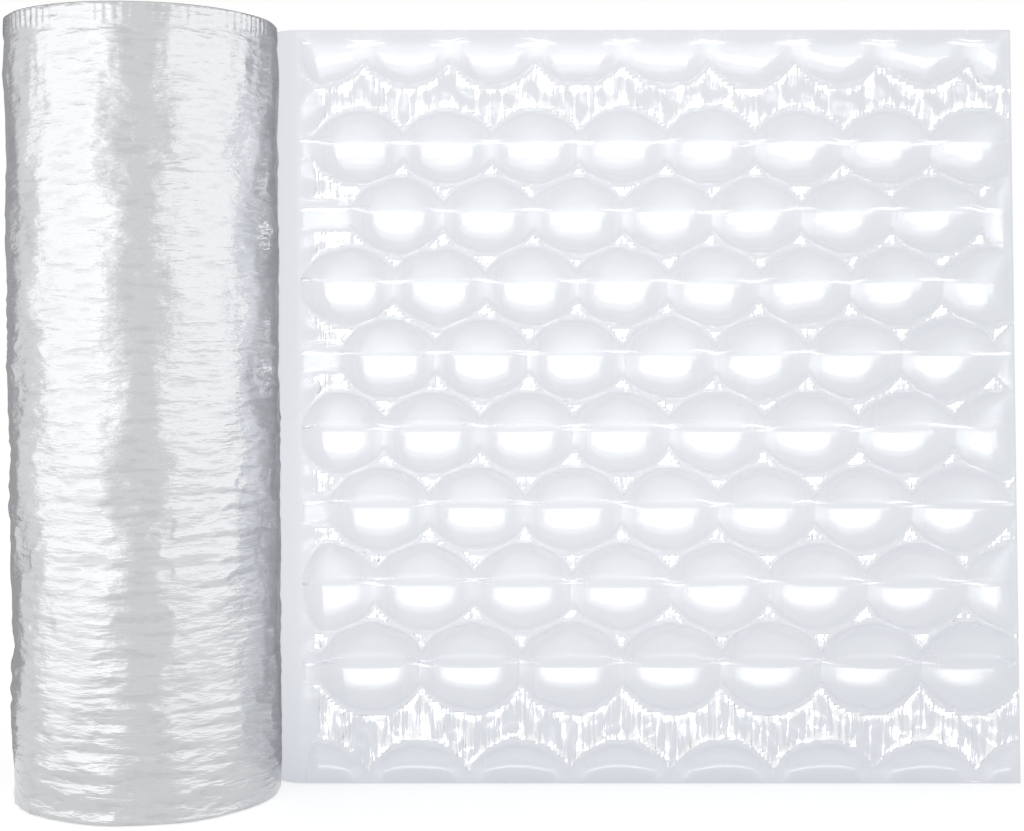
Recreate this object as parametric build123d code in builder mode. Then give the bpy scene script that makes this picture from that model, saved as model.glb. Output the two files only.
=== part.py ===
from build123d import *

import os
from math import atan2, cos, degrees, pi, radians, sin

# A roll of air pillow film that stands on its end, with a length of the film
# drawn off to the side and inflated. Millimetres, +Z up along the roll's axis,
# +X the way the film leads off. The origin is on the axis, at the base.

# Film stock and its core.
FILM_WIDTH = 400.0       # width of the film, the height of the standing roll
ROLL_DIAMETER = 139.0    # over the wound turns
CORE_BORE = 76.0         # inside the paperboard core, for a three-inch spindle
CORE_WALL = 4.0
CORE_FIT = 0.1           # between the core and the first turn
FILM_PLY = 0.8           # the two plies of film, drawn thicker than they are

# Wound turns.
END_STEP = 0.9           # depth of the turns that sit lower at each end
END_RINGS = 2            # groups of such turns

# Lead of the last turn, from the roll to the perforation.
LEAD_ANGLE = 20.0        # where the film leaves the roll, from +X
WEB_OFFSET = 12.0        # plane of the inflated film, behind the roll's axis

# Inflated length. Its rows open out downwards, pillow by pillow.
WEB_END = 460.0          # free end, from the roll's axis
ROWS_PER_SECTION = 8
TOP_ROW = 337.3          # middle line of the section's highest row
ROW_PITCH = 36.1         # from that row to the next one down
ROW_GROWTH = 1.54        # added to it from each row to the next
SECTION_BAND = 18.5      # plain film between two sections of rows
PILLOW_PITCH = 46.25     # along the highest row
PILLOW_GROWTH = 1.01     # added to it from each row to the next
SPREAD_LINE = 281.2      # from the roll's axis, the line that the rows open out from
ROW_START = 0.3          # first pillow of the highest row beyond that line, in pitches
PILLOW_SIDES = 8
PILLOW_LENGTH = 0.98     # of the pitch along its row
PILLOW_HEIGHT = 1.05     # of the pitch between rows
PILLOW_BULGE = 0.30      # from the film's plane to its crown, of its height
SHOULDER_RISE = 0.52     # where its sides turn over into the crown, of the bulge
SHOULDER_INSET = 0.14    # of its height
CROWN_INSET = 0.19       # of its height
NECK_WIDTH = 17.0
NECK_BULGE = 4.6
EDGE_PINCH = 9.0         # how far in from the film's edges the pillows reach full bulge

roll_radius = ROLL_DIAMETER / 2
core_radius = CORE_BORE / 2 + CORE_WALL
winding_bore = core_radius + CORE_FIT
winding_build = roll_radius - winding_bore
rows = range(-1, ROWS_PER_SECTION + 1)   # one more beyond each band

# The lead starts inside the outer turns and bends until it runs along +X.
lead_radius = roll_radius - FILM_PLY
lead_start = (
    lead_radius * cos(radians(LEAD_ANGLE)),
    lead_radius * sin(radians(LEAD_ANGLE)),
)
lead_heading = (sin(radians(LEAD_ANGLE)), -cos(radians(LEAD_ANGLE)))
lead_turn = 90.0 - LEAD_ANGLE
lead_bend = (lead_start[1] - WEB_OFFSET) / (1 - cos(radians(lead_turn)))
perforation = lead_start[0] + lead_bend * sin(radians(lead_turn))


def row_height(row):
    """Middle line of a row, counted down from the section's highest one."""
    height = TOP_ROW - row * ROW_PITCH - row * (row - 1) / 2 * ROW_GROWTH
    if row < 0:
        return height + SECTION_BAND
    if row >= ROWS_PER_SECTION:
        return height - SECTION_BAND
    return height


def pillow_size(row):
    """Length and height of the pillows in a row."""
    row_pitch = ROW_PITCH + (row - 0.5) * ROW_GROWTH
    return PILLOW_LENGTH * pillow_pitch(row), PILLOW_HEIGHT * row_pitch


def pillow_pitch(row):
    """Pitch of the pillows along a row."""
    return PILLOW_PITCH + row * PILLOW_GROWTH


def pillow_middles(row):
    """Places of a row's pillows on the film, each second row half a pitch on."""
    pitch = pillow_pitch(row)
    reach = pillow_size(row)[0] / 2 - EDGE_PINCH
    first = SPREAD_LINE + (ROW_START + row % 2 / 2) * pitch
    steps = range(-ROWS_PER_SECTION, ROWS_PER_SECTION)
    along = [first + step * pitch for step in steps]
    return [
        (place, row_height(row))
        for place in along
        if perforation - reach < place < WEB_END + reach
    ]


def winding_outline():
    """Half section of the wound turns: radius against height."""
    ring = winding_build / (2 * END_RINGS)
    top = []
    for number in range(2 * END_RINGS):
        inner = winding_bore + number * ring
        level = FILM_WIDTH if number % 2 else FILM_WIDTH - END_STEP
        top += [(inner, level), (inner + ring, level)]
    base = [(radius, FILM_WIDTH - height) for radius, height in reversed(top)]
    return top + base


def pillow_corners(length, height):
    """Corners of a pillow's outline, with a flat side at each neck."""
    corner = 1 / cos(pi / PILLOW_SIDES)
    turns = [2 * pi * (side + 0.5) / PILLOW_SIDES for side in range(PILLOW_SIDES)]
    return [
        (corner * length / 2 * cos(turn), corner * height / 2 * sin(turn))
        for turn in turns
    ]


def pillow(length, height):
    """One pillow about its middle: a steep and a flat layer on each face."""
    bulge = PILLOW_BULGE * height
    shoulder = SHOULDER_RISE * bulge
    crown = bulge - shoulder
    with BuildPart() as shape:
        with BuildSketch():
            Polygon(*pillow_corners(length, height), align=None)
        extrude(
            amount=shoulder,
            taper=degrees(atan2(SHOULDER_INSET * height, shoulder)),
        )
        extrude(
            shape.faces().sort_by(Axis.Z)[-1],
            amount=crown,
            taper=degrees(atan2(CROWN_INSET * height, crown)),
        )
        mirror(about=Plane.XY)
    return shape.part


def pinched(near, far):
    """Outline of the pinch across the film, from one edge to the other."""
    half_ply = FILM_PLY / 2
    full = PILLOW_BULGE * pillow_size(rows[-1])[1]
    upper = [
        (near, half_ply),
        (near + EDGE_PINCH, full),
        (far - EDGE_PINCH, full),
        (far, half_ply),
    ]
    return upper + [(place, -bulge) for place, bulge in reversed(upper)]


with BuildPart() as core_tube:
    with BuildSketch():
        Circle(core_radius)
        Circle(CORE_BORE / 2, mode=Mode.SUBTRACT)
    extrude(amount=FILM_WIDTH)

with BuildPart() as film_roll:
    with BuildSketch(Plane.XZ):
        with BuildLine():
            Polyline(*winding_outline(), close=True)
        make_face()
    revolve(axis=Axis.Z)
    with BuildSketch():
        with BuildLine():
            JernArc(lead_start, lead_heading, lead_bend, lead_turn)
        trace(line_width=FILM_PLY)
    extrude(amount=FILM_WIDTH)

pillows = {row: pillow(*pillow_size(row)) for row in rows}
film_plane = Plane(origin=(0, WEB_OFFSET, 0), x_dir=(1, 0, 0), z_dir=(0, -1, 0))

with BuildPart(film_plane) as inflated_web:
    web_middle = (perforation + WEB_END) / 2
    web_length = WEB_END - perforation
    with BuildSketch(film_plane):
        with Locations((web_middle, FILM_WIDTH / 2)):
            Rectangle(web_length, FILM_WIDTH)
    extrude(amount=FILM_PLY / 2, both=True)
    # Necks: one low ridge on each side of the film, right along each row.
    with BuildSketch(Plane.YZ.offset(perforation)):
        for row in rows:
            with Locations((WEB_OFFSET, row_height(row))):
                Polygon(
                    (0, NECK_WIDTH / 2), (NECK_BULGE, 0),
                    (0, -NECK_WIDTH / 2), (-NECK_BULGE, 0),
                    align=None,
                )
    extrude(amount=web_length)
    for row in rows:
        with Locations(*pillow_middles(row)):
            add(pillows[row])
    # The pillows close onto the film's edges.
    with BuildSketch(Plane.YZ.offset(perforation)):
        with Locations((WEB_OFFSET, 0)):
            Polygon(*[(b, a) for a, b in pinched(0, FILM_WIDTH)], align=None)
    extrude(amount=web_length, mode=Mode.INTERSECT)
    with BuildSketch(Plane.XY):
        with Locations((0, WEB_OFFSET)):
            Polygon(*pinched(perforation, WEB_END), align=None)
    extrude(amount=FILM_WIDTH, mode=Mode.INTERSECT)

os.makedirs("parts", exist_ok=True)
core_tube.part.label = "core_tube"
export_step(core_tube.part, "parts/core_tube.step")
film_roll.part.label = "film_roll"
export_step(film_roll.part, "parts/film_roll.step")
inflated_web.part.label = "inflated_web"
export_step(inflated_web.part, "parts/inflated_web.step")
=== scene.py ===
# %% [markdown]
# An air pillow roll: flat packing film wound on a paperboard core, standing on
# its end, with a length drawn off to the right and blown up into pillows. The
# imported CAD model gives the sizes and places, and this lesson dresses it.

# %% Load the frame
import math
import time

import bpy
import numpy as np
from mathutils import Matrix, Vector


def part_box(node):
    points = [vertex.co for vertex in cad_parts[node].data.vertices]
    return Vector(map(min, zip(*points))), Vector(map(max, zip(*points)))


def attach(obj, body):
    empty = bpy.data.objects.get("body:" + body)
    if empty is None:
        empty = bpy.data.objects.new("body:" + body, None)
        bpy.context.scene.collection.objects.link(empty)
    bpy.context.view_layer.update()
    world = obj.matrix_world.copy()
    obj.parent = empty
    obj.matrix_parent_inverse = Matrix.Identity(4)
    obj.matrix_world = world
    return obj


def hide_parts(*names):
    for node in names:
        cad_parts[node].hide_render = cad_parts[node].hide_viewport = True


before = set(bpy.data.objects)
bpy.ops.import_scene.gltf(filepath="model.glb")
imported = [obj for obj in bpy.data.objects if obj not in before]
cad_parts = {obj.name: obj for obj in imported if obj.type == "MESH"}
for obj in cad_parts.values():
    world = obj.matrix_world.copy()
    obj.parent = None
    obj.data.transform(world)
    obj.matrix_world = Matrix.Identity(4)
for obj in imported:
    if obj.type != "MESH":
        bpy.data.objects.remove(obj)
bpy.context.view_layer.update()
roll_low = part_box("film_roll")[0]
core_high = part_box("core_tube")[1]
web_low, web_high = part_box("inflated_web")

# %% [markdown]
# The camera comes first, so that every piece can be judged in the frame of the
# photograph. The roll's sides and rims and the sheet's edges fix its distance,
# its height and its lens. A long lens from nearly a metre away keeps upright
# edges upright, so a slight tilt is enough.

# %% Camera
LENS = 61.19                 # mm
SENSOR = 36.0                # mm
CAMERA_PLACE = (0.1915, -0.9103, 0.2404)
CAMERA_TILT = 2.673          # degrees below level

camera_data = bpy.data.cameras.new("camera")
camera_data.lens = LENS
camera_data.sensor_width = SENSOR
camera = bpy.data.objects.new("camera", camera_data)
camera.location = CAMERA_PLACE
camera.rotation_euler = (math.radians(90.0 - CAMERA_TILT), 0.0, 0.0)
bpy.context.collection.objects.link(camera)
bpy.context.scene.camera = camera
bpy.context.scene.view_settings.view_transform = "Standard"
print("camera", tuple(camera.location))

# %% [markdown]
# All the film's shapes are worked out as tables of numbers, in millimetres, and
# only turned into meshes at the end. These are the sizes that they share. All but
# the bend off the roll are read from the boxes of the CAD pieces.

# %% Shared sizes
FILM_WIDTH = (web_high.z - web_low.z) * 1000
ROLL_RADIUS = -roll_low.x * 1000
CORE_RADIUS = core_high.x * 1000
PERFORATION = web_low.x * 1000           # where the inflated length starts
WEB_END = web_high.x * 1000              # where it ends
WEB_PLANE = (web_low.y + web_high.y) * 500
LEAD_BEND = 17.47                        # radius of the film's bend off the roll
LEAD_TURN = math.radians(70.0)           # angle of that bend
print("film", FILM_WIDTH, "mm wide, roll radius", round(ROLL_RADIUS, 2))
print("inflated from", round(PERFORATION, 2), "to", round(WEB_END, 2), "mm")

# %% [markdown]
# A few helpers serve every piece. Creased film needs randomness that is smooth and
# can be longer one way than the other. Blurring plain noise by a different length
# along each axis gives that, and the blur is quick when done by Fourier transform.


# %% Helpers for tables of numbers
def blurred(values, spacing, size_u, size_v):
    """A table of values blurred by the given lengths in mm."""
    freq_u = np.fft.fftfreq(values.shape[1], spacing)[None, :]
    freq_v = np.fft.fftfreq(values.shape[0], spacing)[:, None]
    blur = np.exp(-2 * np.pi**2 * ((freq_u * size_u) ** 2 + (freq_v * size_v) ** 2))
    return np.fft.ifft2(np.fft.fft2(values) * blur).real


def field(shape, spacing, size_u, size_v, seed):
    """Smooth random field of unit spread; size_u and size_v are its blur in mm."""
    noise = np.random.default_rng(seed).normal(size=shape)
    noise = blurred(noise, spacing, size_u, size_v)
    return noise / noise.std()


def smooth(value, low, high):
    """Smooth step from 0 at low to 1 at high."""
    t = np.clip((value - low) / (high - low), 0, 1)
    return t * t * (3 - 2 * t)


# %% Helpers for meshes
def grid_quads(rows, columns, start=0, wrap=False):
    """Faces of a grid of vertices, stored row after row."""
    index = np.arange(rows * columns).reshape(rows, columns) + start
    if wrap:
        index = np.concatenate([index, index[:, :1]], axis=1)
    corners = [index[:-1, :-1], index[:-1, 1:], index[1:, 1:], index[1:, :-1]]
    return np.stack(corners, axis=-1).reshape(-1, 4)


def make_object(name, points, faces):
    """A smooth-shaded mesh object from a table of points in mm."""
    mesh = bpy.data.meshes.new(name)
    mesh.from_pydata((points / 1000).tolist(), [], faces.tolist())
    mesh.polygons.foreach_set("use_smooth", np.ones(len(mesh.polygons), bool))
    mesh.update()
    obj = bpy.data.objects.new(name, mesh)
    bpy.context.collection.objects.link(obj)
    return obj


# %% [markdown]
# The pillows lie in rows along the film, each row half a pitch on from the last,
# like honeycomb. A row is one chain: lobes joined by narrow necks, so that one
# nozzle can blow up the whole row. The rows open out a little towards the base,
# and a band of plain film parts each section of eight rows from the next.

# %% Sizes of the rows
ROWS_PER_SECTION = 8
TOP_ROW = 338.7              # middle line of the section's highest row
ROW_PITCH = 35.9             # from that row to the next one down
ROW_GROWTH = 1.166           # added to it from each row to the next
UPPER_BAND = 17.0            # plain film above the section
LOWER_BAND = 22.0            # plain film below it
PILLOW_PITCH = 46.25         # along the highest row
PILLOW_GROWTH = 1.01         # added to it from each row to the next
PILLOW_HEIGHT = 35.3         # in the highest row, before the rows press together
HEIGHT_GROWTH = 1.17
ROW_OVERLAP = 0.572          # half height of a pillow, as a share of that
SPREAD_LINE = 282.2          # from the roll's axis, the line that the rows open out from
SPREAD_LEAN = 0.7            # how far that line moves on from row to row
EVEN_START = 3.7             # pitches from that line back to the first pillow
ODD_START = 3.2


def row(number):
    """Height, pitch, first pillow and half height of a row; 0 is the highest full one."""
    height = TOP_ROW - ROW_PITCH * number - ROW_GROWTH / 2 * number * (number - 1)
    height += UPPER_BAND * (number < 0) - LOWER_BAND * (number >= ROWS_PER_SECTION)
    pitch = PILLOW_PITCH + PILLOW_GROWTH * number
    half = ROW_OVERLAP * (PILLOW_HEIGHT + HEIGHT_GROWTH * number)
    before = EVEN_START if number % 2 == 0 else ODD_START + (number < 0)
    first = SPREAD_LINE + SPREAD_LEAN * number - before * pitch
    return height, pitch, first, half


print("highest row", row(0), "lowest row", row(ROWS_PER_SECTION - 1))

# %% [markdown]
# The film starts as a flat net of points, from the roll to its free end. The free
# end is cut by hand, a little out of square, so the net is stretched to follow it.

# %% Flat film
STEP = 1.83       # between two points of the net
END_BELOW = 4.0                          # how far the cut runs past the end at the base
END_SLANT = 11.0                         # how far it has run back at the top

lead_length = LEAD_BEND * LEAD_TURN
columns = int(round((WEB_END - PERFORATION + lead_length) / STEP)) + 1
lines = int(round(FILM_WIDTH / STEP)) + 1
flat_u, flat_v = np.meshgrid(
    np.linspace(PERFORATION - lead_length, WEB_END, columns),
    np.linspace(0, FILM_WIDTH, lines),
)
free_end = WEB_END + END_BELOW - END_SLANT * flat_v / FILM_WIDTH
along = np.clip((flat_u - PERFORATION) / (WEB_END - PERFORATION), 0, None)
flat_u = flat_u + along * (free_end - WEB_END)
to_side = np.minimum(flat_v, FILM_WIDTH - flat_v)
to_edge = np.minimum(to_side, free_end - flat_u)
print("film net", columns, "by", lines)

# %% [markdown]
# For each point of the net four numbers say where it lies in the pattern: how far
# inside the nearest seal, how far along that seal, whether in a neck, and how far
# above the fold that the film keeps from lying flat. The lobes are ellipses, and a
# soft maximum runs them into the necks. One row is worked out at a time, and each
# point belongs to the row that it is deepest inside.

# %% Place of each point in the pattern
LOBE_REACH = 0.526           # half length of a lobe, in pitches
NECK_HALF = 0.172            # half height of a neck, in pitches
INLET_PINCH = 0.05           # how much narrower it is before the first pillow, in pitches
INLET_TAPER = 18.0           # over how long it opens out again, towards the roll
BLEND = 1.2                  # rounding between lobe and neck
NECK_STARTS, NECK_FULL = 0.2, 0.44       # from a pillow's middle, in pitches
FOLD_RISE = 2.7              # the fold, above the row's middle line
NEXT_PILLOW = 300.0          # added from pillow to pillow, so that no two pucker alike


def pillow_chain(number):
    """Depth inside the seal, length along it, share of neck and height over the fold."""
    height, pitch, first, half = row(number)
    off = (flat_u - first + pitch / 2) % pitch - pitch / 2
    # A pillow that the perforation would cut is drawn in to end on it.
    drawn_in = max(1.0, LOBE_REACH * pitch / (first - PERFORATION + 0.5))
    off = np.where(flat_u < first, (flat_u - first) * drawn_in, off)
    off = np.where(flat_u < first - pitch / 2 / drawn_in, pitch / 2, off)
    lobe = half * np.sqrt(np.clip(1 - (off / (LOBE_REACH * pitch)) ** 2, 0, 1))
    inlet = smooth(first - pitch / 2 - flat_u, 0.0, INLET_TAPER)
    neck_half = (NECK_HALF - INLET_PINCH * (1 - inlet) * (inlet > 0)) * pitch
    reach = BLEND * np.logaddexp(lobe / BLEND, neck_half / BLEND)
    turn = np.arctan2((flat_v - height) / half, off / (pitch / 2))
    cell = np.floor((flat_u - first) / pitch + 0.5) + 10 * number
    in_neck = smooth(np.abs(off), NECK_STARTS * pitch, NECK_FULL * pitch)
    depth = reach - np.abs(flat_v - height)
    return depth, turn * half + NEXT_PILLOW * cell, in_neck, flat_v - height - FOLD_RISE


wobble = 0.45 * field(flat_u.shape, STEP, 4.0, 4.0, 7)
inside = np.full(flat_u.shape, -40.0)
around = np.zeros(flat_u.shape)
neck = np.zeros(flat_u.shape)
over_fold = np.full(flat_u.shape, 40.0)
for number in range(-1, ROWS_PER_SECTION + 1):
    depth, along_seal, in_neck, above = pillow_chain(number)
    depth = depth + wobble
    here = depth > inside
    inside = np.where(here, depth, inside)
    around = np.where(here, along_seal, around)
    neck = np.where(here, in_neck, neck)
    over_fold = np.where(here, above, over_fold)
# The pillows close onto the film's edges and onto the perforation.
inside = np.minimum(np.minimum(inside, 8.0 * to_side - 0.5), free_end - flat_u - 0.5)
inside = np.minimum(inside, flat_u - PERFORATION + 2.0)
print("share of the film inside pillows", round(float((inside > 0).mean()), 3))

# %% [markdown]
# Film can't stretch, so when a flat cell is blown up its outline shrinks and the
# spare film round the seal crumples. Displacing a flat sheet by hand can't give
# that. Here each ply is a net of springs that are longer than the gaps they span:
# the seals are held, air pushes inside them, and the net settles by itself.

# %% Springs of the net
SPARE_U, SPARE_V = 0.12, 0.06            # how much too long the film is each way
AIR = 0.019                              # push of the air
BEND = 0.008                             # stiffness against folding
ROUNDS = 360

# Two ends of each kind of spring, then its pull when long and when short.
SPRINGS = (
    (np.s_[:, :-1], np.s_[:, 1:], "along", 1.0, 0.06),
    (np.s_[:-1], np.s_[1:], "up", 1.0, 0.06),
    (np.s_[:-1, :-1], np.s_[1:, 1:], "across", 0.4, 0.024),
    (np.s_[:-1, 1:], np.s_[1:, :-1], "across", 0.4, 0.024),
)
# Three points in a row, along the film and up it.
FOLDS = (
    (np.s_[:, :-2], np.s_[:, 1:-1], np.s_[:, 2:]),
    (np.s_[:-2], np.s_[1:-1], np.s_[2:]),
)


def spring_forces(points, lengths):
    """Forces of all the springs, and of the film's stiffness, on each point."""
    force = np.zeros_like(points)
    for start, end, kind, stiff, soft in SPRINGS:
        gap = points[end] - points[start]
        size = np.sqrt(np.einsum("ijk,ijk->ij", gap, gap))[..., None] + 1e-9
        over = size - lengths[kind]
        pull = gap * (np.where(over > 0, stiff, soft) * over / size)
        force[start] += pull
        force[end] -= pull
    for before, middle, after in FOLDS:
        bend = BEND * (points[before] - 2 * points[middle] + points[after])
        force[middle] += 2 * bend
        force[before] -= bend
        force[after] -= bend
    return force


def air_push(points):
    """Push of the air on each inner point, square to the film there."""
    du = points[1:-1, 2:] - points[1:-1, :-2]
    dv = points[2:, 1:-1] - points[:-2, 1:-1]
    push = np.empty_like(du)
    push[..., 0] = dv[..., 1] * du[..., 2] - dv[..., 2] * du[..., 1]
    push[..., 1] = dv[..., 2] * du[..., 0] - dv[..., 0] * du[..., 2]
    push[..., 2] = dv[..., 0] * du[..., 1] - dv[..., 1] * du[..., 0]
    return push


# %% Blow up the two plies
def blow_up(seed):
    """Settled points of one ply: x, height above the film's plane, z."""
    rest = np.stack([flat_u, np.zeros_like(flat_u), flat_v], -1).astype(np.float32)
    pillow = (1 / (1 + np.exp(-(inside - 0.6) / 0.5))).astype(np.float32)[..., None]
    held = np.exp(-(((inside + 0.4) / (0.8 * STEP)) ** 2))
    held = np.maximum(held, 0.6 * (flat_u < PERFORATION - 1.0))
    fixed = (to_edge < 0.7 * STEP) | (flat_u < PERFORATION - lead_length + STEP)
    held = np.where(fixed, 1.0, held).astype(np.float32)[..., None]
    # A little unevenness to start from, or the film would have no reason to crumple.
    points = rest.copy()
    points[..., 1] += 0.35 * field(flat_u.shape, STEP, 1.3, 9.0, seed) * (inside < 1.0)
    dimples = np.abs(field(flat_u.shape, STEP, 1.5, 1.5, seed + 1))
    points[..., 1] += 0.4 * dimples * np.exp(-inside / 6) * (inside > 0)
    long_u = (rest[:, 1:, :1] - rest[:, :-1, :1]) * (1 + SPARE_U)
    long_v = (rest[1:, :, 2:] - rest[:-1, :, 2:]) * (1 + SPARE_V)
    cross = np.sqrt(long_u[1:] ** 2 + long_v[:, 1:] ** 2)
    lengths = {"along": long_u, "up": long_v, "across": cross}
    speed = np.zeros_like(points)
    for _ in range(ROUNDS):
        force = spring_forces(points, lengths)
        force[1:-1, 1:-1] += air_push(points) * pillow[1:-1, 1:-1] * (0.25 * AIR / STEP)
        speed = (speed + 0.22 * force) * 0.95 * (1 - held)
        points += speed
        points += (rest - points) * (0.5 * held)
    return points


started = time.time()
front = blow_up(11)
back = blow_up(23)
print("blown up in", round(time.time() - started, 1), "s")
print("tallest pillow", round(float(front[..., 1].max()), 2), "mm")

# %% [markdown]
# Finer things are added to the settled net. Puckers run in from each seal. Film is
# folded flat before it is blown up, and the fold stays: it stands up as a low roof
# ridge along the middle of each row, steeper in the lower rows, and as a sharper
# crease through the necks. The ridge is what cuts each light off in a straight line.

# %% Puckers, folds and creases
PUCKER_WIDTH = 5.2           # along the seal
PUCKER_HEIGHT = 0.32
CREASE_HEIGHT = 0.4
RIDGE_SLOPE = 0.45           # of the ridge at the film's base
RIDGE_EASE = 0.18            # how much less it is at the film's top
RIDGE_REACH = 6.0            # how far the slope runs out from the ridge
NECK_BLUR = 4.5              # evens out the springs' dents in the necks


def dress(points, seed):
    """Heights of a ply with its puckers, its ridge and its neck creases."""
    shape = around.shape
    ripple = np.sin(around * 2 * np.pi / PUCKER_WIDTH + 2.0 * field(shape, STEP, 5, 5, seed))
    ripple = ripple * (0.6 + 0.4 * field(shape, STEP, 9, 9, seed + 1))
    fade = smooth(inside, 0.0, 2.5) * np.exp(-np.clip(inside, 0, None) / 4.0)
    pucker = PUCKER_HEIGHT * ripple * fade
    gap = np.abs(over_fold + 0.4 * field(shape, STEP, 16, 16, seed + 2))
    crease = CREASE_HEIGHT * neck * np.exp(-gap / 2.0) * (inside > 2)
    slope = RIDGE_SLOPE - RIDGE_EASE * flat_v / FILM_WIDTH
    ridge = slope * gap * np.exp(-gap / RIDGE_REACH) * smooth(inside, 1.0, 6.0)
    even = neck * smooth(inside, 1.0, 5.0)
    heights = points[..., 1]
    heights = (1 - even) * heights + even * blurred(heights, STEP, NECK_BLUR, NECK_BLUR)
    return heights + np.where(inside > 0, pucker * (1 - neck), 0) + crease - ridge


front_height = dress(front, 31)
back_height = dress(back, 41)
print("front ply up to", round(float(front_height.max()), 2), "mm")

# %% [markdown]
# Between the pillows both plies lie together and crumple as one. The net is then
# wrapped into the room: flat in the film's plane, and round the bend back to the
# roll. A seam of faces along the rim closes the two plies into one skin.

# %% Two plies, one skin
PLY_GAP = 0.25               # between the plies where they lie together
LIFT = 0.1                   # least height of a ply off the film's plane

shape = inside.shape
mix = smooth(inside, -1.0, 1.5)
crumple = np.abs(field(shape, STEP, 1.3, 3.2, 61)) - 0.8 + 0.5 * field(shape, STEP, 1.6, 1.6, 62)
crumple = 0.22 * crumple * smooth(-inside, 0.3, 2.0) * smooth(to_edge, 0.0, 3.0)
crumple = crumple * smooth(flat_u, PERFORATION - 4.0, PERFORATION + 14.0)
puffed = np.maximum(front_height, LIFT)
front_height = np.where(inside > 0, puffed, front_height + LIFT + crumple)
back_height = mix * -np.maximum(back_height, LIFT) + (1 - mix) * (front_height - PLY_GAP)


def on_film(points, height):
    """Places in the room: the film's plane, then the bend back to the roll."""
    bend = np.clip((PERFORATION - points[..., 0]) / LEAD_BEND, 0, None)
    bent_x = PERFORATION - (LEAD_BEND + height) * np.sin(bend)
    bent_y = WEB_PLANE + LEAD_BEND - (LEAD_BEND + height) * np.cos(bend)
    x = np.where(bend > 0, bent_x, points[..., 0])
    y = np.where(bend > 0, bent_y, WEB_PLANE - height)
    return np.stack([x, y, points[..., 2]], -1).reshape(-1, 3)


count = lines * columns
rim = np.concatenate([
    np.arange(columns),
    np.arange(1, lines) * columns + columns - 1,
    (lines - 1) * columns + np.arange(columns - 2, -1, -1),
    np.arange(lines - 2, 0, -1) * columns,
])
seam = np.stack([rim, rim + count, np.roll(rim, -1) + count, np.roll(rim, -1)], -1)
web_points = np.concatenate([on_film(front, front_height), on_film(back, back_height)])
front_faces = grid_quads(lines, columns)
back_faces = grid_quads(lines, columns, count)[:, ::-1]
web_faces = np.concatenate([front_faces, back_faces, seam])
inflated_film = make_object("inflated_film", web_points, web_faces)
print("inflated film", len(web_points), "points,", len(web_faces), "faces")

# %% [markdown]
# The finish of the film has to know the pattern too: it is pleated between the
# pillows, matt along the seals and creased through the necks. Those numbers are
# kept on the mesh's points as attributes, which a material can read.

# %% Marks for the finish
BACK_PLEATS = 0.45           # pleats of the back ply, against the front's


def mark(name, front_values, back_share=1.0):
    """Keeps a number on each point of both plies."""
    both = np.concatenate([front_values.ravel(), back_share * front_values.ravel()])
    layer = inflated_film.data.attributes.new(name, "FLOAT", "POINT")
    layer.data.foreach_set("value", both.astype(np.float32))


lead_calm = 0.15 + 0.85 * smooth(flat_u, PERFORATION, PERFORATION + 8.0)
wide_calm = 1.2 - 0.34 * smooth(-inside, 2.5, 6.0) - 0.1 * smooth(flat_v, 345.0, 365.0)
land = (1 - smooth(inside, -1.2, 0.0)) * lead_calm * wide_calm
mark("land", land, BACK_PLEATS)
mark("seal", inside)
mark("fold", np.clip(over_fold, -20, 20))
mark("neck", neck * smooth(inside, 0.5, 3.0))
print("marks on", len(inflated_film.data.vertices), "points")

# %% [markdown]
# The roll is the same film before it is blown up. Its outer turn keeps a faint
# print of the flat pillows, long wrinkles run round it where it was wound slack,
# and at the upper rim the edge of the film is drawn in to a band of small pleats.
# All of that is a change of radius, so one table over angle and height holds it.

# %% Table of the roll
ROLL_STEP = 1.4   # between two points of the roll
PRINT_CELLS = 9                          # flat pillows round the outer turn
PRINT_BASE = 52.5                        # height of their lowest row
PRINT_PITCH = 40.7                       # from row to row

turns = int(round(2 * math.pi * ROLL_RADIUS / ROLL_STEP))
levels = int(round((FILM_WIDTH - 1.0) / ROLL_STEP)) + 1
angle, level = np.meshgrid(
    np.arange(turns) * 2 * math.pi / turns,
    np.linspace(0.5, FILM_WIDTH - 0.5, levels),
)
shape = angle.shape
arc = angle * ROLL_RADIUS
below_rim = FILM_WIDTH - level
band = (level - PRINT_BASE) / PRINT_PITCH
nearest = np.floor(band + 0.5)
print_round = np.cos(PRINT_CELLS * angle + math.pi * nearest)
print_of_pillows = print_round * np.cos(math.pi * (band - nearest))
print("roll table", turns, "by", levels)

# %% Wrinkles of the roll
calm = smooth(below_rim, 30.0, 70.0) * 0.7 + 0.3
lower = 1 + 0.6 * smooth(below_rim, 40.0, 220.0)
long_wrinkles = field(shape, ROLL_STEP, 15.0, 1.8, 51)
cross_wrinkles = field(shape, ROLL_STEP, 6.0, 3.0, 52)
patches = smooth(field(shape, ROLL_STEP, 22.0, 14.0, 53), -1.0, 1.2)
slack = field(shape, ROLL_STEP, 14.0, 11.0, 54)
dents = field(shape, ROLL_STEP, 3.6, 5.0, 58)
ridges = np.exp(-np.abs(cross_wrinkles) / 0.35) - 0.3
wrinkles = 0.2 * long_wrinkles + 0.4 * ridges
radius = ROLL_RADIUS - 0.25
radius = radius + 0.5 * calm * print_of_pillows + 0.24 * slack + 0.13 * dents
radius = radius + lower * calm * (0.45 + 0.55 * patches) * wrinkles
print("roll radius from", round(float(radius.min()), 2), "to", round(float(radius.max()), 2))

# %% Pleats of the drawn-in rim
RIM_PLEAT = 4.6              # from one pleat to the next
RIM_BAND = 11.0              # height of the drawn-in band
GATHER_LINE = 28.0           # below the rim, where the film is gathered

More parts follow.
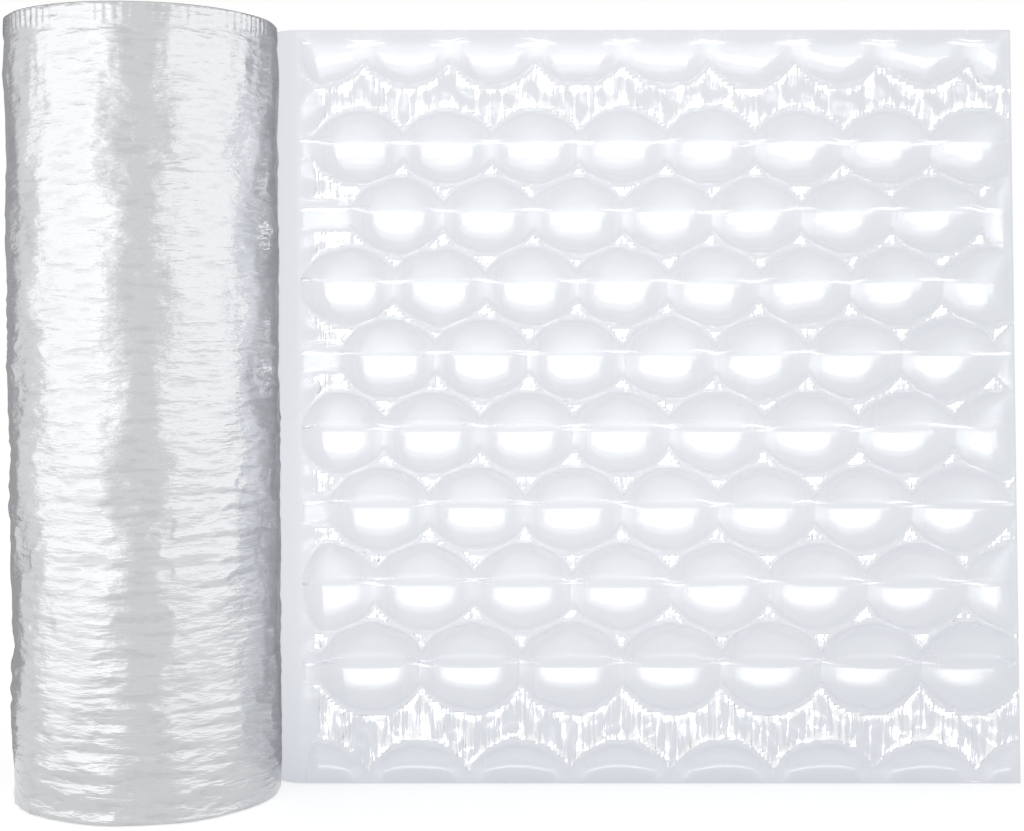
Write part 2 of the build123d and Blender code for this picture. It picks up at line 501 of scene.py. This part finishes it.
pleat_phase = arc * 2 * math.pi / RIM_PLEAT + 1.6 * field(shape, ROLL_STEP, 7.0, 30.0, 55)
rim_pleats = np.sin(pleat_phase) * (0.65 + 0.35 * field(shape, ROLL_STEP, 6.0, 40.0, 56))
radius = radius + 0.42 * rim_pleats * (1 - smooth(below_rim, 7.0, RIM_BAND))
gather = np.exp(-np.abs(below_rim - GATHER_LINE) / 7.0)
groove = np.exp(-(((below_rim - RIM_BAND) / 2.0) ** 2))
radius = radius + 0.34 * gather * field(shape, ROLL_STEP, 1.9, 7.0, 57) - 0.35 * groove
lateral = np.stack([radius * np.cos(angle), radius * np.sin(angle), level], -1).reshape(-1, 3)
print("rim pleats", round(2 * math.pi * ROLL_RADIUS / RIM_PLEAT))

# %% [markdown]
# The skin of the roll goes over the rims, across both ends, which lie a little
# lower than the film's edge, and through the bore round the core. It is closed
# ring by ring, so there is no hole for a light to show through.

# %% Wound roll
END_DEPTH = 1.6              # of the ends, below the film's edge
BORE_GAP = 0.25              # between the winding and the core


def ring(size, height):
    """One ring of the roll's ends, or of its bore."""
    x = size * np.cos(angle[0])
    y = size * np.sin(angle[0])
    return np.stack([x, y, np.full(turns, height)], -1)


end_radius = ROLL_RADIUS - 2.6
bore_radius = CORE_RADIUS + BORE_GAP
end_rings = [
    ring(radius[-1] - 0.5, FILM_WIDTH),
    ring(radius[-1] - 1.6, FILM_WIDTH - 0.1),
    ring(end_radius, FILM_WIDTH - END_DEPTH),
    ring(bore_radius, FILM_WIDTH - END_DEPTH),
    ring(bore_radius, END_DEPTH),
    ring(end_radius, END_DEPTH),
    ring(radius[0] - 1.6, 0.1),
    ring(radius[0] - 0.5, 0.0),
]
roll_points = np.concatenate([lateral] + end_rings)
ring_count = levels + len(end_rings)
last = (ring_count - 1) * turns
one = np.arange(turns)
following = (one + 1) % turns
closing = np.stack([last + one, last + following, following, one], -1)
roll_faces = np.concatenate([grid_quads(ring_count, turns, wrap=True), closing])
wound_roll = make_object("wound_roll", roll_points, roll_faces)
print("wound roll", len(roll_points), "points")

# %% [markdown]
# Seen on end, a roll is one long spiral. Geometry Nodes suit that: a spiral curve
# with a thin profile along it gives every turn at once, and a little noise lets
# some turns stand higher than others, as they do when film is wound.

# %% Sizes of the turns
TURN_SIZES = {
    "Inner radius": CORE_RADIUS / 1000 + 0.0006,
    "Outer radius": ROLL_RADIUS / 1000 - 0.0024,
    "Turns": 34.0,
    "Edge thickness": 0.00062,
    "Edge height": 0.0022,
    "Unevenness": 0.0009,
}


# %% Tree of the turns on both ends
def wound_turns(name, material):
    """A tree that sweeps a film edge along a spiral, once for each end."""
    tree = bpy.data.node_groups.new(name, "GeometryNodeTree")
    for label, size in TURN_SIZES.items():
        socket = tree.interface.new_socket(label, in_out="INPUT", socket_type="NodeSocketFloat")
        socket.default_value = size
    tree.interface.new_socket("Turns of film", in_out="OUTPUT", socket_type="NodeSocketGeometry")
    nodes, links = tree.nodes, tree.links
    given = nodes.new("NodeGroupInput")
    result = nodes.new("NodeGroupOutput")
    spiral = nodes.new("GeometryNodeCurveSpiral")
    spiral.inputs["Resolution"].default_value = 84
    spiral.inputs["Height"].default_value = 0.0
    links.new(given.outputs["Turns"], spiral.inputs["Rotations"])
    links.new(given.outputs["Inner radius"], spiral.inputs["Start Radius"])
    links.new(given.outputs["Outer radius"], spiral.inputs["End Radius"])
    profile = nodes.new("GeometryNodeCurvePrimitiveQuadrilateral")
    links.new(given.outputs["Edge thickness"], profile.inputs["Width"])
    links.new(given.outputs["Edge height"], profile.inputs["Height"])
    sweep = nodes.new("GeometryNodeCurveToMesh")
    sweep.inputs["Fill Caps"].default_value = True
    links.new(spiral.outputs["Curve"], sweep.inputs["Curve"])
    links.new(profile.outputs["Curve"], sweep.inputs["Profile Curve"])
    noise = nodes.new("ShaderNodeTexNoise")
    noise.inputs["Scale"].default_value = 260.0
    noise.inputs["Detail"].default_value = 1.0
    middle = nodes.new("ShaderNodeMath")
    middle.operation = "SUBTRACT"
    middle.inputs[1].default_value = 0.5
    links.new(noise.outputs[0], middle.inputs[0])
    rise = nodes.new("ShaderNodeMath")
    rise.operation = "MULTIPLY"
    links.new(middle.outputs[0], rise.inputs[0])
    links.new(given.outputs["Unevenness"], rise.inputs[1])
    upward = nodes.new("ShaderNodeCombineXYZ")
    links.new(rise.outputs[0], upward.inputs["Z"])
    uneven = nodes.new("GeometryNodeSetPosition")
    links.new(sweep.outputs["Mesh"], uneven.inputs["Geometry"])
    links.new(upward.outputs[0], uneven.inputs["Offset"])
    ends = nodes.new("GeometryNodeJoinGeometry")
    depth = END_DEPTH / 1000
    for height, tilt in ((FILM_WIDTH / 1000 - depth, 0.0), (depth, math.pi)):
        place = nodes.new("GeometryNodeTransform")
        place.inputs["Translation"].default_value = (0, 0, height)
        place.inputs["Rotation"].default_value = (tilt, 0, 0)
        links.new(uneven.outputs["Geometry"], place.inputs["Geometry"])
        links.new(place.outputs["Geometry"], ends.inputs["Geometry"])
    real = nodes.new("GeometryNodeRealizeInstances")
    finish = nodes.new("GeometryNodeSetMaterial")
    finish.inputs["Material"].default_value = material
    links.new(ends.outputs["Geometry"], real.inputs["Geometry"])
    links.new(real.outputs["Geometry"], finish.inputs["Geometry"])
    links.new(finish.outputs["Geometry"], result.inputs[0])
    return tree


def from_tree(name, tree, sizes):
    """The tree's result as a plain mesh object, with no modifier left."""
    carrier = bpy.data.objects.new(name + "_carrier", bpy.data.meshes.new(name + "_carrier"))
    bpy.context.collection.objects.link(carrier)
    modifier = carrier.modifiers.new("nodes", "NODES")
    modifier.node_group = tree
    for socket in tree.interface.items_tree:
        if socket.in_out == "INPUT":
            modifier[socket.identifier] = sizes[socket.name]
    evaluated = carrier.evaluated_get(bpy.context.evaluated_depsgraph_get())
    mesh = bpy.data.meshes.new_from_object(evaluated)
    mesh.name = name
    bpy.data.objects.remove(carrier)
    obj = bpy.data.objects.new(name, mesh)
    bpy.context.collection.objects.link(obj)
    return obj


# %% [markdown]
# The finishes are node trees, built from a few helpers: a noise on given
# coordinates, a bump from a height, a range turned into another range, one step of
# arithmetic, and a mark read from the mesh. Noise on Object coordinates stays put
# on the piece, wherever the piece is moved.


# %% Helpers for finishes
def new_material(name):
    """An empty node material and its tree."""
    material = bpy.data.materials.new(name)
    material.use_nodes = True
    material.node_tree.nodes.clear()
    return material, material.node_tree


def surface(tree, shader):
    """Makes a shader the finish's surface."""
    output = tree.nodes.new("ShaderNodeOutputMaterial")
    tree.links.new(shader.outputs[0], output.inputs["Surface"])


def noise_on(tree, coordinates, scale=1.0, detail=1.0, stretch=(1, 1, 1), wander=0.0):
    """A noise texture on the given coordinates, stretched by a mapping."""
    mapping = tree.nodes.new("ShaderNodeMapping")
    mapping.inputs["Scale"].default_value = stretch
    tree.links.new(coordinates, mapping.inputs["Vector"])
    noise = tree.nodes.new("ShaderNodeTexNoise")
    noise.inputs["Scale"].default_value = scale
    noise.inputs["Detail"].default_value = detail
    noise.inputs["Distortion"].default_value = wander
    tree.links.new(mapping.outputs[0], noise.inputs["Vector"])
    return noise.outputs[0]


def bump_on(tree, height, strength, distance, before=None):
    """A bump from a height, on top of another one where given."""
    bump = tree.nodes.new("ShaderNodeBump")
    bump.inputs["Strength"].default_value = strength
    bump.inputs["Distance"].default_value = distance
    tree.links.new(height, bump.inputs["Height"])
    if before is not None:
        tree.links.new(before, bump.inputs["Normal"])
    return bump.outputs[0]


def ranged(tree, value, source, target, soft=False, clamp=True):
    """A value's source range turned into a target range; soft eases both ends."""
    node = tree.nodes.new("ShaderNodeMapRange")
    node.clamp = clamp
    if soft:
        node.interpolation_type = "SMOOTHSTEP"
    for label, number in zip(("From Min", "From Max", "To Min", "To Max"), source + target):
        node.inputs[label].default_value = number
    tree.links.new(value, node.inputs["Value"])
    return node.outputs[0]


def math_on(tree, operation, *terms, clamp=False):
    """One operation on sockets and plain numbers."""
    node = tree.nodes.new("ShaderNodeMath")
    node.operation = operation
    node.use_clamp = clamp
    for term, socket in zip(terms, node.inputs):
        if isinstance(term, float):
            socket.default_value = term
        else:
            tree.links.new(term, socket)
    return node.outputs[0]


def marked(tree, name):
    """A mark that the mesh keeps on its points."""
    node = tree.nodes.new("ShaderNodeAttribute")
    node.attribute_name = name
    return node.outputs["Fac"]


def object_place(tree):
    """Coordinates that are fixed to the piece, in metres."""
    return tree.nodes.new("ShaderNodeTexCoord").outputs["Object"]


def two_tones(tree, value, dark, dark_at, pale, pale_at):
    """A colour between two tones, by a value."""
    ramp = tree.nodes.new("ShaderNodeValToRGB")
    for element, tone, at in zip(ramp.color_ramp.elements, (dark, pale), (dark_at, pale_at)):
        element.position = at
        element.color = tone
    tree.links.new(value, ramp.inputs["Fac"])
    return ramp.outputs["Color"]


# %% [markdown]
# Wound film is hundreds of clear layers, which together shine like pale metal. A
# metallic finish with long streaks round the roll gives that better than layers of
# real glass would, and it renders in a fraction of the time.


# %% Wound film
def wound_film_material():
    """Pale metal with streaks round the roll and a fine crinkle, with painted shade a little
    darker in the streaks' hollows.
    """
    material, tree = new_material("wound_film")
    place = object_place(tree)
    streaks = noise_on(tree, place, detail=3.0, stretch=(70, 70, 290))
    crinkle = noise_on(tree, place, scale=420.0, detail=2.0)
    normal = bump_on(tree, streaks, 0.8, 0.0014)
    normal = bump_on(tree, crinkle, 0.25, 0.0004, normal)
    # Painted shade: the base colour follows the streaks' bump and is a little darker in its
    # hollows.
    dark, pale = (0.578, 0.587, 0.605, 1), (0.632, 0.64, 0.654, 1)
    tone = two_tones(tree, streaks, dark, 0.36, pale, 0.47)
    shader = tree.nodes.new("ShaderNodeBsdfPrincipled")
    shader.inputs["Metallic"].default_value = 0.75
    shader.inputs["Roughness"].default_value = 0.24
    tree.links.new(tone, shader.inputs["Base Color"])
    tree.links.new(normal, shader.inputs["Normal"])
    surface(tree, shader)
    return material


# %% [markdown]
# A single ply is clear: it lets the background through and shows only its gloss,
# so it is a see-through shader mixed with a mirror-like one. How much gloss shows
# is the work of the marks: more in the pleats between pillows and on the creases
# through the necks, less along the matt seals. Drawn-off film hangs in a slight
# curl, which leans its gloss back at the base and forward at the top.

# %% Gloss of the clear film
LEAN_AT_BASE, LEAN_AT_TOP = 0.25, -0.174


def hanging_normal(tree, normal, height):
    """A normal that leans with the curl of the hanging film."""
    film_height = (0.0, FILM_WIDTH / 1000)
    lean = ranged(tree, height, film_height, (LEAN_AT_BASE, LEAN_AT_TOP), clamp=False)
    upward = tree.nodes.new("ShaderNodeCombineXYZ")
    tree.links.new(lean, upward.inputs["Z"])
    leaning = tree.nodes.new("ShaderNodeVectorMath")
    tree.links.new(normal, leaning.inputs[0])
    tree.links.new(upward.outputs[0], leaning.inputs[1])
    unit = tree.nodes.new("ShaderNodeVectorMath")
    unit.operation = "NORMALIZE"
    tree.links.new(leaning.outputs[0], unit.inputs[0])
    return unit.outputs[0]


def crease_gloss(tree, place, neck_mark):
    """Gloss of the thin crease that strays along the fold through each neck."""
    stray = ranged(tree, noise_on(tree, place, scale=45.0), (0.0, 1.0), (-3.0, 3.0))
    beside = math_on(tree, "ABSOLUTE", math_on(tree, "ADD", marked(tree, "fold"), stray))
    line = ranged(tree, beside, (0.15, 0.8), (0.6, 0.0), soft=True)
    return math_on(tree, "MULTIPLY", line, neck_mark)


def tint_with_painted_shade(tree, corner):
    """Colour of what is seen through a ply, with painted shade: a little darker low down and
    towards the free end.
    """
    # Painted shade: the see-through colour darkens towards the film's base and its free end.
    low = ranged(tree, corner.outputs["Z"], (0.1, 0.0), (0.0, 1.0))
    far = ranged(tree, corner.outputs["X"], (0.3, WEB_END / 1000), (0.0, 0.75))
    tint = tree.nodes.new("ShaderNodeMix")
    tint.data_type = "RGBA"
    tint.inputs["A"].default_value = (0.874, 0.884, 0.905, 1)
    tint.inputs["B"].default_value = (0.834, 0.847, 0.87, 1)
    tree.links.new(math_on(tree, "ADD", low, far, clamp=True), tint.inputs["Factor"])
    return tint.outputs["Result"]


# %% Clear film
def clear_film_material():
    """See-through film with gloss where the marks call for it."""
    material, tree = new_material("clear_film")
    nodes, links = tree.nodes, tree.links
    place = object_place(tree)
    corner = nodes.new("ShaderNodeSeparateXYZ")
    links.new(place, corner.inputs[0])
    neck_mark = marked(tree, "neck")
    inner_side = nodes.new("ShaderNodeNewGeometry").outputs["Backfacing"]

    crinkle = noise_on(tree, place, scale=330.0, stretch=(1.0, 1.0, 0.45))
    pleats = noise_on(tree, place, detail=3.0, stretch=(390, 60, 34), wander=0.7)
    pleats = math_on(tree, "MULTIPLY", pleats, marked(tree, "land"))
    normal = bump_on(tree, crinkle, 0.16, 0.0004)
    normal = bump_on(tree, pleats, 0.9, 0.002, normal)
    normal = hanging_normal(tree, normal, corner.outputs["Z"])

    # Gathered film in the necks is duller, and so is the inside of a pillow.
    haze = ranged(tree, inner_side, (0.0, 1.0), (0.2, 0.42))
    deep_neck = math_on(tree, "POWER", neck_mark, 2.5)
    roughness = math_on(tree, "MULTIPLY_ADD", deep_neck, 0.3, haze)
    gloss = nodes.new("ShaderNodeBsdfPrincipled")
    gloss.inputs["Base Color"].default_value = (0.93, 0.935, 0.945, 1)
    gloss.inputs["Metallic"].default_value = 0.85
    links.new(roughness, gloss.inputs["Roughness"])
    links.new(normal, gloss.inputs["Normal"])
    clear = nodes.new("ShaderNodeBsdfTransparent")
    links.new(tint_with_painted_shade(tree, corner), clear.inputs["Color"])

    weight = nodes.new("ShaderNodeLayerWeight")
    weight.inputs["Blend"].default_value = 0.18
    links.new(normal, weight.inputs["Normal"])
    share = ranged(tree, weight.outputs["Fresnel"], (0.0, 1.0), (0.075, 0.22))
    matt_seal = ranged(tree, marked(tree, "seal"), (0.0, 3.0), (0.3, 1.0), soft=True)
    share = math_on(tree, "MULTIPLY", share, matt_seal)
    pleat_share = ranged(tree, pleats, (0.42, 0.58), (0.0, 0.85), soft=True)
    outer = ranged(tree, inner_side, (0.0, 1.0), (1.0, 0.4))
    share = math_on(tree, "ADD", share, math_on(tree, "MULTIPLY", pleat_share, outer))
    share = math_on(tree, "ADD", share, crease_gloss(tree, place, neck_mark), clamp=True)
    mixer = nodes.new("ShaderNodeMixShader")
    links.new(share, mixer.inputs["Fac"])
    links.new(clear.outputs[0], mixer.inputs[1])
    links.new(gloss.outputs[0], mixer.inputs[2])
    surface(tree, mixer)
    return material


# %% [markdown]
# The core is plain brown paperboard, seen only from above. Fine fibres in its tone
# and a little bump are enough, and the CAD tube keeps its own mesh.


# %% Paperboard
def paperboard_material():
    """Brown board with fine fibres."""
    material, tree = new_material("paperboard")
    fibres = noise_on(tree, object_place(tree), detail=4.0, stretch=(300, 300, 900))
    dark, pale = (0.36, 0.25, 0.15, 1), (0.56, 0.42, 0.27, 1)
    shader = tree.nodes.new("ShaderNodeBsdfPrincipled")
    shader.inputs["Roughness"].default_value = 0.85
    tree.links.new(two_tones(tree, fibres, dark, 0.0, pale, 1.0), shader.inputs["Base Color"])
    tree.links.new(bump_on(tree, fibres, 0.3, 0.0004), shader.inputs["Normal"])
    surface(tree, shader)
    return material


# %% Finish the pieces
wound_film = wound_film_material()
clear_film = clear_film_material()
paperboard = paperboard_material()
inflated_film.data.materials.append(clear_film)
wound_roll.data.materials.append(wound_film)
turn_edges = from_tree("turn_edges", wound_turns("wound_turns", wound_film), TURN_SIZES)
print("turn edges", len(turn_edges.data.vertices), "points")
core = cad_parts["core_tube"]
core.data.materials.clear()
core.data.materials.append(paperboard)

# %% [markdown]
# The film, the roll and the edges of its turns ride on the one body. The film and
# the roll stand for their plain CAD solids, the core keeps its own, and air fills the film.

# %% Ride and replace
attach(inflated_film, "root")
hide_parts("inflated_web")
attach(wound_roll, "root")
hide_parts("film_roll")
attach(turn_edges, "root")
print("pieces", inflated_film.name, wound_roll.name, turn_edges.name, core.name)

# %% [markdown]
# The studio is a white floor in a white room, so that clear film stands against
# white as it does in the photograph. The floor glows a little where it is looked
# at, also in a reflection or through the film, and still takes the shadows.

# %% Floor
FLOOR_HALF = 4.0
FLOOR_DROP = 0.0005          # below the pieces, so that no faces coincide
FLOOR_GLOW = 0.55

floor_mesh = bpy.data.meshes.new("floor")
floor_corners = [(-FLOOR_HALF, -FLOOR_HALF, 0), (FLOOR_HALF, -FLOOR_HALF, 0)]
floor_corners += [(FLOOR_HALF, FLOOR_HALF, 0), (-FLOOR_HALF, FLOOR_HALF, 0)]
floor_mesh.from_pydata(floor_corners, [], [(0, 1, 2, 3)])
floor = bpy.data.objects.new("floor", floor_mesh)
floor.location.z = -FLOOR_DROP
bpy.context.collection.objects.link(floor)


def seen_directly(tree):
    """1 where the camera looks, also in a reflection or through the film."""
    path = tree.nodes.new("ShaderNodeLightPath")
    seen = path.outputs["Is Camera Ray"]
    for kind in ("Is Glossy Ray", "Is Transmission Ray"):
        seen = math_on(tree, "MAXIMUM", seen, path.outputs[kind])
    return seen


floor_paint, tree = new_material("floor_paint")
paint = tree.nodes.new("ShaderNodeBsdfDiffuse")
paint.inputs["Color"].default_value = (0.85, 0.85, 0.85, 1)
glow = tree.nodes.new("ShaderNodeEmission")
shown = math_on(tree, "MULTIPLY", seen_directly(tree), FLOOR_GLOW)
tree.links.new(shown, glow.inputs["Strength"])
both = tree.nodes.new("ShaderNodeAddShader")
tree.links.new(paint.outputs[0], both.inputs[0])
tree.links.new(glow.outputs[0], both.inputs[1])
surface(tree, both)
floor_mesh.materials.append(floor_paint)
print("floor", 2 * FLOOR_HALF, "m square")

# %% White room
ROOM_FILL = 0.55             # light that the room gives
ROOM_WHITE = 1.0             # how bright it looks

world = bpy.data.worlds.new("studio")
bpy.context.scene.world = world
world.use_nodes = True
tree = world.node_tree
tree.nodes.clear()
choose = tree.nodes.new("ShaderNodeMixShader")
tree.links.new(seen_directly(tree), choose.inputs["Fac"])
for strength, socket in ((ROOM_FILL, choose.inputs[1]), (ROOM_WHITE, choose.inputs[2])):
    white = tree.nodes.new("ShaderNodeBackground")
    white.inputs["Color"].default_value = (1, 1, 1, 1)
    white.inputs["Strength"].default_value = strength
    tree.links.new(white.outputs[0], socket)
output = tree.nodes.new("ShaderNodeOutputWorld")
tree.links.new(choose.outputs[0], output.inputs["Surface"])
print("room fill", ROOM_FILL)

# %% [markdown]
# Shiny film is lit by what it mirrors. Tall soft boxes and dimmer lamps on the
# floor give the bright strips down the roll, and grey cards behind it draw its
# edges. The film has lamps of its own: panels on the floor before and behind it and
# a low box in front, whose mirror image hangs below each pillow's fold. Light
# linking keeps the two sets apart.

# %% What each lamp lights
roll_only = bpy.data.collections.new("lit_roll")
film_only = bpy.data.collections.new("lit_film")
for obj in (wound_roll, turn_edges, core):
    roll_only.objects.link(obj)
film_only.objects.link(inflated_film)


# %% Lamps
def soft_box(name, place, target, size, radiance, lit, shape="RECTANGLE"):
    """A lamp that faces its target; radiance is how bright it looks."""
    width, height = size
    data = bpy.data.lights.new(name, "AREA")
    data.shape = shape
    data.size, data.size_y = width, height
    data.energy = radiance * math.pi * width * height
    lamp = bpy.data.objects.new(name, data)
    lamp.location = place
    facing = Vector(target) - Vector(place)
    lamp.rotation_euler = facing.to_track_quat("-Z", "Y").to_euler()
    lamp.visible_camera = False
    bpy.context.collection.objects.link(lamp)
    lamp.light_linking.receiver_collection = lit


def floor_panel(name, x, y, size, radiance, lit, shape):
    """A lamp that lies on the floor and shines upwards."""
    soft_box(name, (x, y, 0.004), (x, y, 1.0), size, radiance, lit, shape)


roll_middle = (0, 0, 0.40)
soft_box("left_box", (-0.59, -0.46, 0.40), roll_middle, (0.92, 0.8), 0.74, roll_only)
soft_box("left_inner", (-0.23, -0.72, 0.40), roll_middle, (0.26, 0.8), 0.36, roll_only)
floor_panel("left_floor", -0.38, -0.34, (0.56, 0.52), 0.36, roll_only, "RECTANGLE")
soft_box("right_box", (0.705, -0.257, 0.40), roll_middle, (1.4, 0.8), 0.56, roll_only)
floor_panel("right_floor", 0.42, -0.26, (0.6, 0.4), 0.16, roll_only, "RECTANGLE")
floor_panel("near_panel", 0.14, -0.30, (0.8, 0.36), 1.2, film_only, "ELLIPSE")
floor_panel("low_panel", 0.14, -0.91, (1.35, 1.3), 4.2, film_only, "ELLIPSE")
floor_panel("back_panel", 0.30, 0.80, (1.35, 1.2), 3.0, film_only, "ELLIPSE")
soft_box("front_box", (0.14, -0.91, 0.075), (0.14, 0, 0.075), (2.3, 0.13), 4.2, film_only)
print("lamps", [lamp.name for lamp in bpy.data.lights])

# %% Cards behind the roll
CARD_STEPS = 12
CARD_HEIGHT = 2.2
CARD_FOOT = 0.002            # above the floor
CARD_INNER = 0.08            # where its foot starts, from the roll's axis
UNSEEN_BY = ("camera", "diffuse", "transmission", "shadow", "volume_scatter")


def round_the_roll(name, start, end, distance, shade):
    """A tall card round the roll between two angles, in degrees from the front."""
    steps = range(CARD_STEPS + 1)
    angles = [math.radians(start + (end - start) * step / CARD_STEPS) for step in steps]
    outline = ((CARD_INNER, CARD_FOOT), (distance, CARD_FOOT), (distance, CARD_HEIGHT))
    points = [(r * math.sin(a), -r * math.cos(a), z) for a in angles for r, z in outline]
    corners = [3 * n + k for n in range(CARD_STEPS) for k in (0, 1)]
    faces = [(c, c + 1, c + 4, c + 3) for c in corners]
    mesh = bpy.data.meshes.new(name)
    mesh.from_pydata(points, [], faces)
    card = bpy.data.objects.new(name, mesh)
    bpy.context.collection.objects.link(card)
    paint, tree = new_material(name + "_paint")
    glow = tree.nodes.new("ShaderNodeEmission")
    glow.inputs["Color"].default_value = (shade, shade, shade * 1.04, 1)
    surface(tree, glow)
    mesh.materials.append(paint)
    for ray in UNSEEN_BY:
        setattr(card, "visible_" + ray, False)


round_the_roll("left_card", -158, -112, 0.4, 0.36)
round_the_roll("right_card", 117, 140, 0.5, 0.46)
round_the_roll("right_far_card", 140, 164, 0.5, 0.36)
round_the_roll("back_card", 164, 202, 0.45, 0.66)
print("cards stand up to", CARD_HEIGHT, "m")
